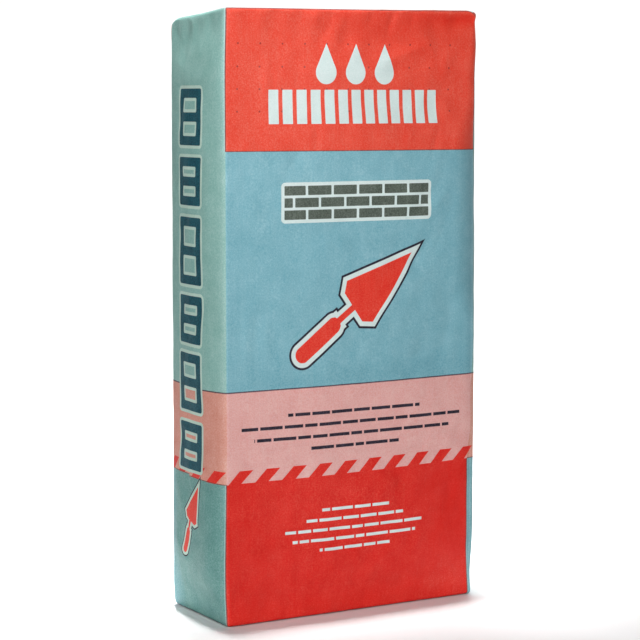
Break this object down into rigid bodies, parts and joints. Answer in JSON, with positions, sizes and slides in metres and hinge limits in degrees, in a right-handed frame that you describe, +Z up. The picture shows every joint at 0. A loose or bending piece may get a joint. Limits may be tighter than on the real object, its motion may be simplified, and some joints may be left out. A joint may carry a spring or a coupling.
{
  "type": "filled block-bottom valve sack of cement",
  "caption": "Filled multi-ply paper valve sack with folded block ends, pasted kraft cover sheets and a flat filling sleeve, standing on its end.",
  "frame": {"origin": "middle of the underside, where the sack stands on the floor", "axes": "+Z up along the sack's height, printed front towards -Y, filling valve at the +X end of the top"},
  "size_m": [0.3036, 0.1346, 0.6031],
  "materials": {
    "printed_paper": "matt sack paper printed in red, light blue, pink and teal",
    "kraft_paper": "unprinted brown kraft paper"
  },
  "bodies": {
    "root": {"sack_body": "printed_paper", "top_patch": "kraft_paper", "bottom_patch": "kraft_paper", "valve_sleeve": "kraft_paper"}
  },
  "joints": []
}
